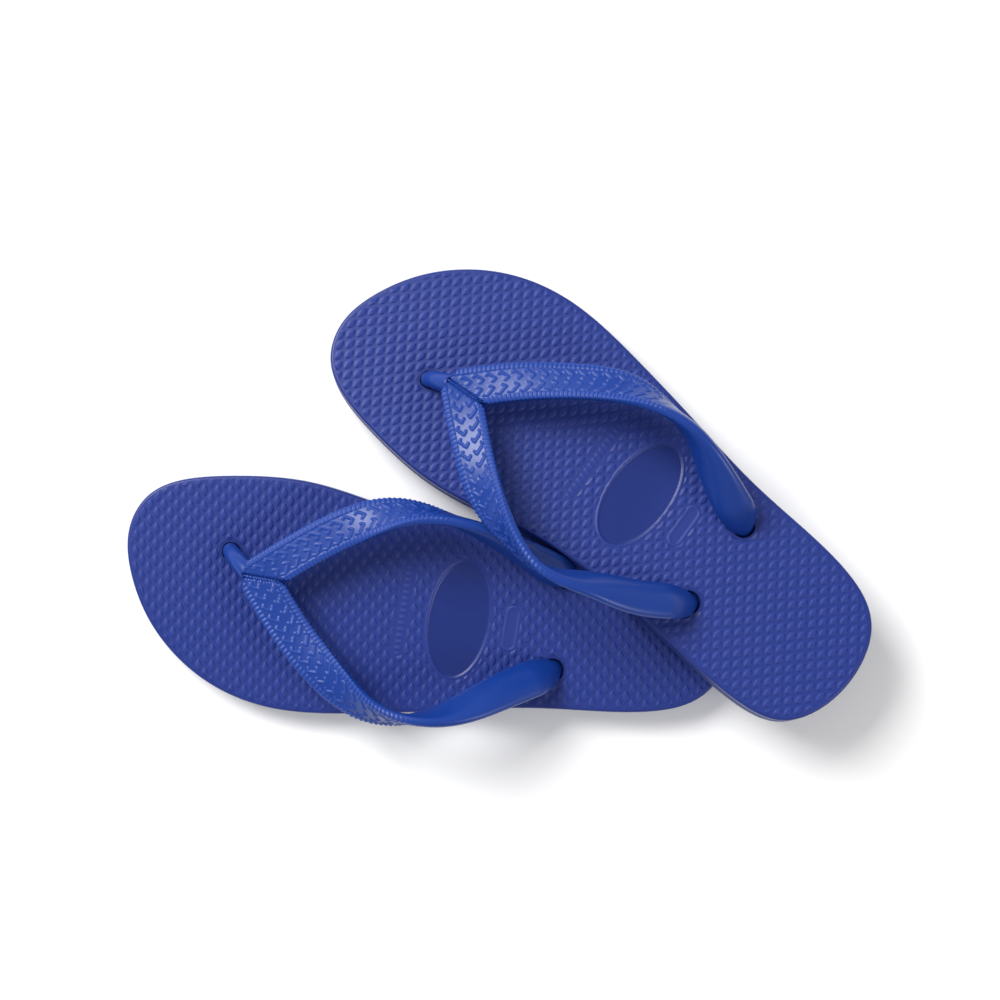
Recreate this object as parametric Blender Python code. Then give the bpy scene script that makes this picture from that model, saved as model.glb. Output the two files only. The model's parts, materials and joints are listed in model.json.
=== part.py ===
"""A pair of rubber flip flops, size EUR 39/40, with the right one lying across the heel of the left one.

World frame: metres, +Z up, the left sole flat on the ground with its toe towards -X. The origin is at the
bottom centre of the pair's box.

Shoe frame: x is the distance from the toe tip towards the heel, y is the distance from the sole's middle line
(towards the big toe on the left shoe, away from it on the right one) and z is the height above the underside.
Points are first worked out as (along, across), where across is positive towards the big toe on both shoes,
and a shoe's hand, +1 for left and -1 for right, turns across into y.
"""

import itertools
import math

import bmesh
import bpy
import numpy as np
from mathutils import Matrix, Vector

# Sole, in metres. It is a sheet of footbed rubber bonded to a thicker outsole, cut out together.
SOLE_LENGTH = 0.256
SOLE_WIDTH = 0.0958
TOE_THICKNESS = 0.0125
HEEL_THICKNESS = 0.0155
FOOTBED_THICKNESS = 0.0050
RIM_ROUND = 0.0012
FLEX_FROM_TOE = 0.082

# Outline of the sole, as shares of its length and of its width measured from the little toe's side:
# how far back, where the outer edge is, where the inner edge is.
SOLE_STATIONS = [
    (0.020, 0.450, 0.820),
    (0.070, 0.250, 0.915),
    (0.160, 0.075, 0.975),
    (0.280, 0.000, 1.000),
    (0.420, 0.040, 0.945),
    (0.560, 0.115, 0.915),
    (0.700, 0.190, 0.950),
    (0.840, 0.235, 0.990),
    (0.940, 0.310, 0.960),
    (0.985, 0.430, 0.820),
]
TOE_TIP_ACROSS = 0.655
HEEL_TIP_ACROSS = 0.625

# Holes and the plugs in them.
POST_FROM_TOE = 0.0438
POST_ACROSS = 0.0140
SIDE_HOLES_FROM_TOE = 0.1842
OUTER_HOLE_INSET = 0.0164
INNER_HOLE_INSET = 0.0176
POST_DIAMETER = 0.0069
SIDE_STEM_DIAMETER = 0.0085
TOE_PLUG_DIAMETER = 0.0160
SIDE_PLUG_DIAMETER = 0.0180
PLUG_THICKNESS = 0.0027
PLUG_RECESS = 0.0006

# Thong: two ribbons that meet in a V above the toe post, twist over on the way back and end in thick tails.
STRAP_START_FROM_TOE = 0.0583
STRAP_NOSE_FROM_TOE = 0.0502
NOSE_CHAMFER = 0.0030
STRAP_START_HEIGHT = 0.0150
STRAP_FOOT_HEIGHT = 0.0042
STRAP_HALF_SPREAD = 0.0415
RIBBON_WIDTH = 0.0158
RIBBON_THICKNESS = 0.0036
TAIL_WIDTH = 0.0165
TAIL_THICKNESS = 0.0075
FOOT_WIDTH = 0.0125

# Stations along each ribbon: share of the way back to the side hole, share of the arch's height there.
STRAP_STATIONS = [(0.12, 0.66), (0.26, 0.77), (0.42, 0.92), (0.57, 1.00), (0.72, 0.92), (0.86, 0.62)]

# Each ribbon's course through those stations: share of the half spread, and roll in degrees (0 lies flat,
# 90 stands on edge). The straps are soft, so no two of the four branches lie quite alike.
STRAP_COURSES = {
    ("left", "outer"): [(0.42, -6), (0.80, 12), (1.09, 52), (1.12, 87), (0.96, 126), (0.70, 152)],
    ("left", "inner"): [(0.31, 6), (0.62, 10), (0.84, 46), (0.87, 82), (0.78, 106), (0.64, 130)],
    ("right", "outer"): [(0.31, 6), (0.60, 18), (0.84, 29), (0.90, 65), (0.82, 102), (0.63, 138)],
    ("right", "inner"): [(0.35, 12), (0.71, 31), (0.96, 72), (1.06, 98), (0.92, 128), (0.75, 152)],
}
FOOT_ROLL = 155

# What else differs between the two shoes as they lie: how high the arch stands, and how far towards the
# big toe the V has settled.
ARCH_HEIGHT = {"left": 0.0235, "right": 0.0270}
STRAP_START_ACROSS = {"left": 0.0060, "right": 0.0118}

# Where the right sole's middle lies in plan from the left sole's middle, and how far it is turned.
RIGHT_SHIFT_X = 0.0675
RIGHT_SHIFT_Y = 0.0712
RIGHT_TURN = math.radians(-26.9)

GAP = 0.0003
OUTLINE_POINTS = 84
HOLE_SIDES = 24
RIBBON_SECTIONS = 26
RIBBON_SIDES = 14
BOXINESS = 0.45

BLUE_FOOTBED = (0.030, 0.052, 0.250)
BLUE_OUTSOLE = (0.026, 0.046, 0.230)
BLUE_STRAP = (0.022, 0.066, 0.330)

HANDS = {"left": 1, "right": -1}


def clear_scene():
    for item in list(bpy.data.objects):
        bpy.data.objects.remove(item, do_unlink=True)


def spline(knots, values, at, closed=False):
    """A cubic spline through values at knots: natural at its ends, or periodic when closed."""
    knots = np.asarray(knots, float)
    values = np.asarray(values, float)
    step = np.diff(knots)
    slope = np.diff(values, axis=0) / step[:, None]
    size = len(knots)
    matrix = np.eye(size)
    right = np.zeros_like(values)
    for i in range(1, size - 1):
        matrix[i, i - 1 : i + 2] = step[i - 1], 2 * (step[i - 1] + step[i]), step[i]
        right[i] = 6 * (slope[i] - slope[i - 1])
    if closed:
        matrix[0, -1] = -1
        matrix[-1, [0, 1, -2, -1]] = 2 * (step[-1] + step[0]), step[0], step[-1], 0
        right[-1] = 6 * (slope[0] - slope[-1])
    bend = np.linalg.solve(matrix, right)
    at = np.asarray(at, float)
    k = np.clip(np.searchsorted(knots, at, side="right") - 1, 0, size - 2)
    h = step[k][:, None]
    after = (at - knots[k])[:, None]
    before = h - after
    cubic = (bend[k] * before**3 + bend[k + 1] * after**3) / (6 * h)
    line = (values[k] / h - bend[k] * h / 6) * before
    return cubic + line + (values[k + 1] / h - bend[k + 1] * h / 6) * after


def sole_outline():
    """The sole's edge as (along, across) points, evenly spaced, from the toe tip down the outer side."""
    outer = [(along, out) for along, out, _ in SOLE_STATIONS]
    inner = [(along, into) for along, _, into in reversed(SOLE_STATIONS)]
    corners = [(0, TOE_TIP_ACROSS), *outer, (1, HEEL_TIP_ACROSS), *inner, (0, TOE_TIP_ACROSS)]
    points = (np.array(corners) - (0, 0.5)) * (SOLE_LENGTH, SOLE_WIDTH)
    knots = np.r_[0, np.cumsum(np.sqrt(np.linalg.norm(np.diff(points, axis=0), axis=1)))]
    fine = spline(knots, points, np.linspace(0, knots[-1], 2000), closed=True)
    length = np.r_[0, np.cumsum(np.linalg.norm(np.diff(fine, axis=0), axis=1))]
    wanted = np.linspace(0, length[-1], OUTLINE_POINTS, endpoint=False)
    return np.column_stack([np.interp(wanted, length, fine[:, k]) for k in (0, 1)])


def inset(outline, distance):
    """The outline moved inwards by a distance."""
    run = np.roll(outline, -1, axis=0) - np.roll(outline, 1, axis=0)
    run /= np.linalg.norm(run, axis=1)[:, None]
    inward = np.column_stack([-run[:, 1], run[:, 0]])
    middle = outline.mean(axis=0)
    if np.sum(inward * (middle - outline)) < 0:
        inward = -inward
    return outline + distance * inward


def edges_at(along):
    """Where the sole's outer and inner edges are, across, at a distance from the toe."""
    outline = sole_outline()
    ring = np.vstack([outline, outline[:1]])
    crossings = []
    for a, b in zip(ring[:-1], ring[1:]):
        if (a[0] - along) * (b[0] - along) <= 0 and a[0] != b[0]:
            crossings.append(a[1] + (along - a[0]) / (b[0] - a[0]) * (b[1] - a[1]))
    return min(crossings), max(crossings)


def sole_height(along):
    """Height of the top of the sole above its underside: a plain wedge."""
    return TOE_THICKNESS + (HEEL_THICKNESS - TOE_THICKNESS) * along / SOLE_LENGTH


def side_holes():
    """(along, across) of the outer and inner holes that the strap's tails go into."""
    outer, inner = edges_at(SIDE_HOLES_FROM_TOE)
    return {
        "outer": (SIDE_HOLES_FROM_TOE, outer + OUTER_HOLE_INSET),
        "inner": (SIDE_HOLES_FROM_TOE, inner - INNER_HOLE_INSET),
    }


def material_for(name, colour, roughness):
    """A plain rubber finish for one node."""
    material = bpy.data.materials.new(name + "_rubber")
    material.use_nodes = True
    shader = material.node_tree.nodes["Principled BSDF"]
    shader.inputs["Base Color"].default_value = (*colour, 1.0)
    shader.inputs["Roughness"].default_value = roughness
    shader.inputs["Metallic"].default_value = 0.0
    return material


def new_object(name, mesh_data, colour, roughness):
    """Turns a bmesh into an object with its own material, with every face pointing outwards."""
    bmesh.ops.recalc_face_normals(mesh_data, faces=mesh_data.faces)
    mesh = bpy.data.meshes.new(name)
    mesh_data.to_mesh(mesh)
    mesh_data.free()
    mesh.materials.append(material_for(name, colour, roughness))
    mesh.shade_smooth()
    mesh.set_sharp_from_angle(angle=math.radians(35))
    item = bpy.data.objects.new(name, mesh)
    bpy.context.scene.collection.objects.link(item)
    return item


def loft(rings):
    """A closed body through rings of points, with a flat face at each end."""
    body = bmesh.new()
    loops = [[body.verts.new(point) for point in ring] for ring in rings]
    count = len(loops[0])
    for low, high in zip(loops[:-1], loops[1:]):
        for i in range(count):
            j = (i + 1) % count
            body.faces.new((low[i], low[j], high[j], high[i]))
    body.faces.new(list(reversed(loops[0])))
    body.faces.new(loops[-1])
    return body


def trim(body, point, normal):
    """Cuts away what lies on the side of a plane that its normal points to, and closes the cut."""
    everything = body.verts[:] + body.edges[:] + body.faces[:]
    cut = bmesh.ops.bisect_plane(
        body, geom=everything, plane_co=point, plane_no=normal, dist=1e-7, clear_outer=True
    )
    rim = [e for e in cut["geom_cut"] if isinstance(e, bmesh.types.BMEdge)]
    bmesh.ops.holes_fill(body, edges=rim, sides=0)


def circle(centre, radius, height):
    """A level ring of points around (along, y) at a height."""
    turns = np.arange(HOLE_SIDES) * 2 * math.pi / HOLE_SIDES
    return [
        (centre[0] + radius * math.cos(a), centre[1] + radius * math.sin(a), height) for a in turns
    ]


def hide_cutter(item):
    item.hide_render = True
    item.display_type = "WIRE"


def hole_cutter(name, centre, stem_diameter, plug_diameter):
    """The space of a hole: wide below, where the plug sits, and just wider than the stem above it."""
    wide = plug_diameter / 2 + GAP
    narrow = stem_diameter / 2 + GAP
    shoulder = PLUG_RECESS + PLUG_THICKNESS + GAP
    above = TOE_THICKNESS + HEEL_THICKNESS
    levels = [(wide, -GAP * 10), (wide, shoulder), (narrow, shoulder), (narrow, above)]
    body = loft([circle(centre, radius, height) for radius, height in levels])
    cutter = new_object(name, body, BLUE_OUTSOLE, 1.0)
    hide_cutter(cutter)
    return cutter


def sole_part(name, rings, keep_front, cutters, colour):
    """One half of one layer of the sole, cut at the flex line, with its holes."""
    body = loft(rings)
    side = 1 if keep_front else -1
    trim(body, (FLEX_FROM_TOE - side * GAP / 2, 0, 0), (side, 0, 0))
    item = new_object(name, body, colour, 0.55)
    for cutter in cutters:
        cut = item.modifiers.new(cutter.name, "BOOLEAN")
        cut.operation = "DIFFERENCE"
        cut.solver = "EXACT"
        cut.object = cutter
    return item


def sole_rings(hand):
    """The rings that the outsole and the footbed are lofted through, each from the bottom up."""
    outline = sole_outline() * (1, hand)
    tucked = inset(outline, RIM_ROUND)

    def ring(edge, drop):
        return [(x, y, sole_height(x) - drop) for x, y in edge]

    def level(edge, height):
        return [(x, y, height) for x, y in edge]

    outsole = [level(tucked, 0), level(outline, RIM_ROUND), ring(outline, FOOTBED_THICKNESS + GAP)]
    footbed = [ring(outline, FOOTBED_THICKNESS), ring(outline, RIM_ROUND), ring(tucked, 0)]
    return outsole, footbed


def make_sole(side_name):
    """Footbed and outsole, each in a front and a rear half that meet at the flex line."""
    hand = HANDS[side_name]
    outsole, footbed = sole_rings(hand)
    toe_hole = hole_cutter(
        side_name + "_toe_hole", (POST_FROM_TOE, POST_ACROSS * hand), POST_DIAMETER, TOE_PLUG_DIAMETER
    )
    rear_holes = [
        hole_cutter(
            f"{side_name}_{place}_hole", (along, across * hand), SIDE_STEM_DIAMETER, SIDE_PLUG_DIAMETER
        )
        for place, (along, across) in side_holes().items()
    ]
    front = [
        sole_part(side_name + "_outsole_front", outsole, True, [toe_hole], BLUE_OUTSOLE),
        sole_part(side_name + "_footbed_front", footbed, True, [toe_hole], BLUE_FOOTBED),
    ]
    rear = [
        sole_part(side_name + "_outsole_rear", outsole, False, rear_holes, BLUE_OUTSOLE),
        sole_part(side_name + "_footbed_rear", footbed, False, rear_holes, BLUE_FOOTBED),
    ]
    return front, rear, [toe_hole, *rear_holes]


def strap_course(side_name, place, shares):
    """Centre points, roll angles, widths and thicknesses of one ribbon at shares of its way back."""
    hand = HANDS[side_name]
    outward = -1 if place == "outer" else 1
    hole = side_holes()[place]
    middle_at_holes = sum(across for _, across in side_holes().values()) / 2
    hole_spread = abs(hole[1] - middle_at_holes) / STRAP_HALF_SPREAD
    arch = ARCH_HEIGHT[side_name]
    start = STRAP_START_ACROSS[side_name]
    course = STRAP_COURSES[side_name, place]

    # One row for each station: share of the way, spread, height, roll.
    rows = [(-STRAP_STATIONS[0][0], -course[0][0], STRAP_START_HEIGHT * 0.97, 0.0)]
    rows.append((0.0, 0.0, STRAP_START_HEIGHT, 0.0))
    for (share, height), (spread, roll) in zip(STRAP_STATIONS, course):
        rows.append((share, spread, height * arch, roll))
    rows.append((1.0, hole_spread, STRAP_FOOT_HEIGHT, FOOT_ROLL))
    rows = np.array(rows)
    spread, height, roll = spline(rows[:, 0], rows[:, 1:], shares).T

    along = STRAP_START_FROM_TOE + shares * (hole[0] - STRAP_START_FROM_TOE)
    axis = start + np.clip(shares, 0, 1) * (middle_at_holes - start)
    across = axis + outward * spread * STRAP_HALF_SPREAD
    points = np.column_stack([along, across * hand, sole_height(along) + height])

    swell = np.clip((shares - 0.45) / 0.35, 0, 1)
    swell = swell * swell * (3 - 2 * swell)
    narrowing = np.clip((shares - 0.90) / 0.10, 0, 1) ** 2
    widths = RIBBON_WIDTH + (TAIL_WIDTH - RIBBON_WIDTH) * swell
    widths = widths + (FOOT_WIDTH - widths) * narrowing
    thicknesses = RIBBON_THICKNESS + (TAIL_THICKNESS - RIBBON_THICKNESS) * swell
    return points, np.radians(roll), widths, thicknesses, swell


def ribbon_rings(side_name, place):
    """Cross sections of one ribbon: a flat bar in front that turns into a round tail."""
    hand = HANDS[side_name]
    shares = np.linspace(-0.10, 1.0, RIBBON_SECTIONS)
    points, rolls, widths, thicknesses, roundness = strap_course(side_name, place, shares)
    runs = np.gradient(points, axis=0)
    outward = (-1 if place == "outer" else 1) * hand
    turns = np.arange(RIBBON_SIDES) * 2 * math.pi / RIBBON_SIDES
    rings = []
    for i, point in enumerate(points):
        run = Vector(runs[i]).normalized()
        out = Vector((0, 0, 1)).cross(run).normalized() * outward
        if out.y * outward < 0:
            out = -out
        up = run.cross(out)
        if up.z < 0:
            up = -up
        wide = out * math.cos(rolls[i]) - up * math.sin(rolls[i])
        face = out * math.sin(rolls[i]) + up * math.cos(rolls[i])
        power = BOXINESS + (1 - BOXINESS) * roundness[i]
        ring = []
        for turn in turns:
            x = math.copysign(abs(math.cos(turn)) ** power, math.cos(turn)) * widths[i] / 2
            y = math.copysign(abs(math.sin(turn)) ** power, math.sin(turn)) * thicknesses[i] / 2
            ring.append(Vector(point) + wide * x + face * y)
        rings.append(ring)
    return rings


def foot_ring(side_name, place):
    """The level ring in which a tail ends, a gap above the footbed, over its hole."""
    hand = HANDS[side_name]
    along, across = side_holes()[place]
    outward = (-1 if place == "outer" else 1) * hand
    ring = []
    for turn in np.arange(RIBBON_SIDES) * 2 * math.pi / RIBBON_SIDES:
        x = along - math.sin(turn) * SIDE_STEM_DIAMETER / 2
        y = across * hand - outward * math.cos(turn) * FOOT_WIDTH / 2
        ring.append(Vector((x, y, sole_height(x) + GAP)))
    return ring


def make_ribbon(side_name, place):
    """One branch of the thong, mitred against the other above the toe post."""
    hand = HANDS[side_name]
    rings = ribbon_rings(side_name, place)
    body = loft(rings[:-2] + [foot_ring(side_name, place)])
    outward = (-1 if place == "outer" else 1) * hand
    axis = STRAP_START_ACROSS[side_name] * hand
    trim(body, (0, axis + outward * GAP / 2, 0), (0, -outward, 0))
    trim(body, (STRAP_NOSE_FROM_TOE, 0, 0), (-1, 0, 0))
    trim(body, (STRAP_NOSE_FROM_TOE, axis + outward * NOSE_CHAMFER, 0), (-1, outward, 0))
    return new_object(f"{side_name}_{place}_strap", body, BLUE_STRAP, 0.42)


def make_toe_post(side_name):
    """The post between the toes: plug under the sole, stem in the hole, neck up to the V's underside."""
    hand = HANDS[side_name]
    hole = Vector((POST_FROM_TOE, POST_ACROSS * hand))
    reach = (STRAP_NOSE_FROM_TOE + STRAP_START_FROM_TOE) / 2
    top = Vector((reach, STRAP_START_ACROSS[side_name] * hand))
    floor = sole_height(POST_FROM_TOE)
    ceiling = sole_height(reach) + STRAP_START_HEIGHT * 0.97 - RIBBON_THICKNESS / 2 - GAP * 3
    radius = POST_DIAMETER / 2
    plug = TOE_PLUG_DIAMETER / 2
    shoulder = PLUG_RECESS + PLUG_THICKNESS
    rings = [
        circle(hole, plug, PLUG_RECESS),
        circle(hole, plug, shoulder),
        circle(hole, radius, shoulder),
        circle(hole, radius, floor),
    ]
    steps = 6
    for i in range(1, steps + 1):
        share = i / steps
        bow = share * share * (3 - 2 * share)
        centre = hole.lerp(top, bow)
        rings.append(circle(centre, radius * (1 + 0.12 * share), floor + share * (ceiling - floor)))
    return new_object(side_name + "_toe_post", loft(rings), BLUE_STRAP, 0.42)


def make_side_plug(side_name, place):
    """The plug that a tail ends in: a stem in the hole and a flange in the recess below."""
    hand = HANDS[side_name]
    along, across = side_holes()[place]
    centre = (along, across * hand)
    stem = SIDE_STEM_DIAMETER / 2
    plug = SIDE_PLUG_DIAMETER / 2
    shoulder = PLUG_RECESS + PLUG_THICKNESS
    top = sole_height(along) - GAP
    levels = [(plug, PLUG_RECESS), (plug, shoulder), (stem, shoulder), (stem, top)]
    body = loft([circle(centre, radius, height) for radius, height in levels])
    return new_object(f"{side_name}_{place}_plug", body, BLUE_STRAP, 0.42)


def new_frame(name, parent, location):
    """An empty that pieces hang on."""
    frame = bpy.data.objects.new(name, None)
    bpy.context.scene.collection.objects.link(frame)
    frame.parent = parent
    frame.location = location
    return frame


def make_shoe(side_name):
    """One whole shoe in its own frame. Its front pieces hang on an empty on the flex line."""
    shoe = new_frame(side_name + "_shoe", None, (0, 0, 0))
    hinge_at = Vector((FLEX_FROM_TOE, 0, sole_height(FLEX_FROM_TOE)))
    flex = new_frame(side_name + "_flex", shoe, hinge_at)
    front, rear, cutters = make_sole(side_name)
    front.append(make_toe_post(side_name))
    for place in ("outer", "inner"):
        rear.append(make_side_plug(side_name, place))
        rear.append(make_ribbon(side_name, place))
    for item in rear + cutters:
        item.parent = shoe
    for item in front:
        item.parent = flex
        item.location = -hinge_at
    return shoe, front + rear


def inside(points, outline):
    """Which plan points lie inside a closed outline."""
    found = np.zeros(len(points), bool)
    ring = np.vstack([outline, outline[:1]])
    for (ax, ay), (bx, by) in zip(ring[:-1], ring[1:]):
        if ay == by:
            continue
        spans = (points[:, 1] >= min(ay, by)) & (points[:, 1] < max(ay, by))
        found ^= spans & (points[:, 0] < ax + (points[:, 1] - ay) / (by - ay) * (bx - ax))
    return found


def lowest_plane(points, heights, balance):
    """The plane z = a x + b y + c that rests on these points: above all, and lowest at the balance point."""
    triples = np.array(list(itertools.combinations(range(len(points)), 3)))
    rows = np.column_stack([points, np.ones(len(points))])
    systems = rows[triples]
    solid = np.abs(np.linalg.det(systems)) > 1e-9
    planes = np.linalg.solve(systems[solid], heights[triples[solid]][..., None])[..., 0]
    clear = (planes @ rows.T >= heights - 1e-9).all(axis=1)
    return min(planes[clear], key=lambda plane: plane @ (*balance, 1))


def right_shoe_frame():
    """Where the right shoe comes to rest: one edge on the ground, the rest of it on the left one's heel."""
    outline = inset(sole_outline(), RIM_ROUND)[::2]
    left = outline
    left_heights = sole_height(left[:, 0])
    middle = np.array([SOLE_LENGTH / 2, 0])
    goal = Vector((SOLE_LENGTH / 2 + RIGHT_SHIFT_X, RIGHT_SHIFT_Y, 0))
    frame = Matrix.Translation(goal) @ Matrix.Rotation(RIGHT_TURN, 4, "Z")
    frame = frame @ Matrix.Translation((-middle[0], 0, 0))
    for _ in range(4):
        sole = np.array([frame @ Vector((x, -y, 0)) for x, y in outline])[:, :2]
        below = inside(left, sole)
        points = np.vstack([sole, left[below]])
        heights = np.r_[np.zeros(len(sole)), left_heights[below]]
        tilt_x, tilt_y, lift = lowest_plane(points, heights, goal[:2])
        up = Vector((-tilt_x, -tilt_y, 1)).normalized()
        heading = Vector((math.cos(RIGHT_TURN), math.sin(RIGHT_TURN), 0))
        along = (heading - up * heading.dot(up)).normalized()
        across = up.cross(along)
        turn = Matrix((along, across, up)).transposed().to_4x4()
        goal.z = tilt_x * goal.x + tilt_y * goal.y + lift + GAP * 1.5
        frame = Matrix.Translation(goal) @ turn @ Matrix.Translation((-middle[0], 0, 0))
    return frame


def centre_on_ground(shoes, nodes):
    """Moves both shoes so that the bottom centre of the pair's box is at the world's origin."""
    bpy.context.view_layer.update()
    corners = np.array([item.matrix_world @ v.co for item in nodes for v in item.data.vertices])
    low, high = corners.min(axis=0), corners.max(axis=0)
    shift = Vector(((low[0] + high[0]) / -2, (low[1] + high[1]) / -2, -low[2]))
    for shoe in shoes:
        shoe.matrix_world = Matrix.Translation(shift) @ shoe.matrix_world


def main():
    clear_scene()
    left, left_nodes = make_shoe("left")
    right, right_nodes = make_shoe("right")
    right.matrix_world = right_shoe_frame()
    centre_on_ground([left, right], left_nodes + right_nodes)


main()
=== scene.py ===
"""Looks of a pair of rubber flip flops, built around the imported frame.

Shoe axes: x runs from the toe tip to the heel, y is across times the shoe's hand, z is up from the underside.
Across is positive towards the big toe on both shoes.
"""

from __future__ import annotations

import json
import logging
import math
from dataclasses import dataclass, field
from enum import Enum

import bpy
import numpy as np
from mathutils import Matrix, Vector

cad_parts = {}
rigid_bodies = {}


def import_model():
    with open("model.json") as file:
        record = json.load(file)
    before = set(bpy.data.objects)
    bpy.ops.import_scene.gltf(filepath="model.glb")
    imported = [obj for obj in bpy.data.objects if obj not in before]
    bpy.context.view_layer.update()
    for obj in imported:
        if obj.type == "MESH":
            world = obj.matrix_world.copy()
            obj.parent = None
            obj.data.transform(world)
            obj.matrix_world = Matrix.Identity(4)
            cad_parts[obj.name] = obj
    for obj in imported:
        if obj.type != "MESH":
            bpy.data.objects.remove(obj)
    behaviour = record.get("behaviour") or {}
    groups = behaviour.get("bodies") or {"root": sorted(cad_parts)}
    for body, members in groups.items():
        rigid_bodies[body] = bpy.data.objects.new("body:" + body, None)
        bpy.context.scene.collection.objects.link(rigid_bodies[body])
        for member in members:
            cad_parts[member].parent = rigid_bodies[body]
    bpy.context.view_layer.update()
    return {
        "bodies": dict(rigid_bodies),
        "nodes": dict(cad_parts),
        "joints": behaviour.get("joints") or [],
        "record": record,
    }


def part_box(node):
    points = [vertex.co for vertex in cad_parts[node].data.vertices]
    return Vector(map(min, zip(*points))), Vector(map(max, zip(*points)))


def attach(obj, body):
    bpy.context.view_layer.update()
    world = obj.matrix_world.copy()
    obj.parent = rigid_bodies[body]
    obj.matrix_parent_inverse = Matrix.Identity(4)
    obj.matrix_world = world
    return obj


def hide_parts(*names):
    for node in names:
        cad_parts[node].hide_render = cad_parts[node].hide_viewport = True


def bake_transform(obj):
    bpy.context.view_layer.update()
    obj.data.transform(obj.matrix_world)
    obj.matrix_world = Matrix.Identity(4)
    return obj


LOG = logging.getLogger("flip_flops")
MM = 0.001


class Side(Enum):
    """Which foot a shoe is for."""

    LEFT = "left"
    RIGHT = "right"

    @property
    def hand(self) -> int:
        """1 where across runs along +y, -1 where it runs against it."""
        return 1 if self is Side.LEFT else -1


class Branch(Enum):
    """The two branches of a thong, by the side of the foot that they pass."""

    OUTER = "outer"
    INNER = "inner"

    @property
    def outward(self) -> int:
        """The sign of across on this branch's side of the shoe."""
        return -1 if self is Branch.OUTER else 1


def smooth(value: np.ndarray, low: float, high: float) -> np.ndarray:
    """An S-shaped step that is 0 at low and 1 at high."""
    share = np.clip((np.asarray(value, float) - low) / (high - low), 0, 1)
    return share * share * (3 - 2 * share)


def spline(knots: np.ndarray, values: np.ndarray, at: np.ndarray, closed: bool = False) -> np.ndarray:
    """A cubic spline through values at knots.

    Args:
        knots: where the values are, rising.
        values: one row for each knot.
        at: where to read the spline.
        closed: periodic where true, natural at its ends where false.

    Returns:
        One row for each reading.
    """
    knots, values, at = (np.asarray(item, float) for item in (knots, values, at))
    step = np.diff(knots)
    slope = np.diff(values, axis=0) / step[:, None]
    size = len(knots)
    matrix = np.eye(size)
    right = np.zeros_like(values)
    for i in range(1, size - 1):
        matrix[i, i - 1 : i + 2] = step[i - 1], 2 * (step[i - 1] + step[i]), step[i]
        right[i] = 6 * (slope[i] - slope[i - 1])
    if closed:
        matrix[0, -1] = -1
        matrix[-1, [0, 1, -2, -1]] = 2 * (step[-1] + step[0]), step[0], step[-1], 0
        right[-1] = 6 * (slope[0] - slope[-1])
    bend = np.linalg.solve(matrix, right)
    k = np.clip(np.searchsorted(knots, at, side="right") - 1, 0, size - 2)
    h = step[k][:, None]
    after = (at - knots[k])[:, None]
    before = h - after
    cubic = (bend[k] * before**3 + bend[k + 1] * after**3) / (6 * h)
    line = (values[k] / h - bend[k] * h / 6) * before
    return cubic + line + (values[k + 1] / h - bend[k + 1] * h / 6) * after


@dataclass
class Shell:
    """One closed surface.

    Faces are lists of point numbers. Relief is each point's share of painted light for the colour, from 0,
    painted shade in hollows, to 1, painted light on raised tops. Plan is the distance along and across in
    millimetres and the room for grains, on the faces of a sole.
    """

    points: np.ndarray
    faces: list[list[int]]
    relief: np.ndarray
    plan: np.ndarray | None = None


def grid_faces(rows: int, columns: int, wrap: bool, first: int = 0) -> list[list[int]]:
    """Quads between rows of points.

    Args:
        rows: how many rows there are.
        columns: how many points a row has.
        wrap: whether a row closes on itself.
        first: the number of the first point.

    Returns:
        The quads.
    """
    i, j = np.meshgrid(np.arange(rows - 1), np.arange(columns if wrap else columns - 1), indexing="ij")
    k = (j + 1) % columns
    quads = np.stack([i * columns + j, i * columns + k, (i + 1) * columns + k, (i + 1) * columns + j], -1)
    return (quads.reshape(-1, 4) + first).tolist()


def signed_volume(points: np.ndarray, faces: list[list[int]]) -> float:
    """Six times the volume that the faces enclose, negative where they point inwards."""
    total = 0.0
    for count in {len(face) for face in faces}:
        ring = np.array([face for face in faces if len(face) == count])
        for k in range(1, count - 1):
            a, b, c = points[ring[:, 0]], points[ring[:, k]], points[ring[:, k + 1]]
            total += float(np.einsum("ij,ij->i", a, np.cross(b, c)).sum())
    return total


def lofted(rings: np.ndarray, relief: np.ndarray | None = None) -> Shell:
    """A closed shell through rings of points, with a face at each end."""
    rows, columns = rings.shape[:2]
    faces = grid_faces(rows, columns, True)
    faces.append(list(range(columns))[::-1])
    faces.append([(rows - 1) * columns + k for k in range(columns)])
    heights = np.zeros(rows * columns) if relief is None else relief.ravel()
    return Shell(rings.reshape(-1, 3), faces, heights)


def lathed(profile: list[tuple[float, float]], sides: int, centre: tuple[float, float]) -> Shell:
    """A closed shell turned about an upright line.

    Args:
        profile: (radius, height) points from the bottom to the top.
        sides: how many points go round.
        centre: where the line stands, in x and y.

    Returns:
        The shell.
    """
    turns = np.arange(sides) * 2 * math.pi / sides
    rings = [
        np.column_stack([centre[0] + r * np.cos(turns), centre[1] + r * np.sin(turns), np.full(sides, z)])
        for r, z in profile
    ]
    return lofted(np.array(rings))


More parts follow.
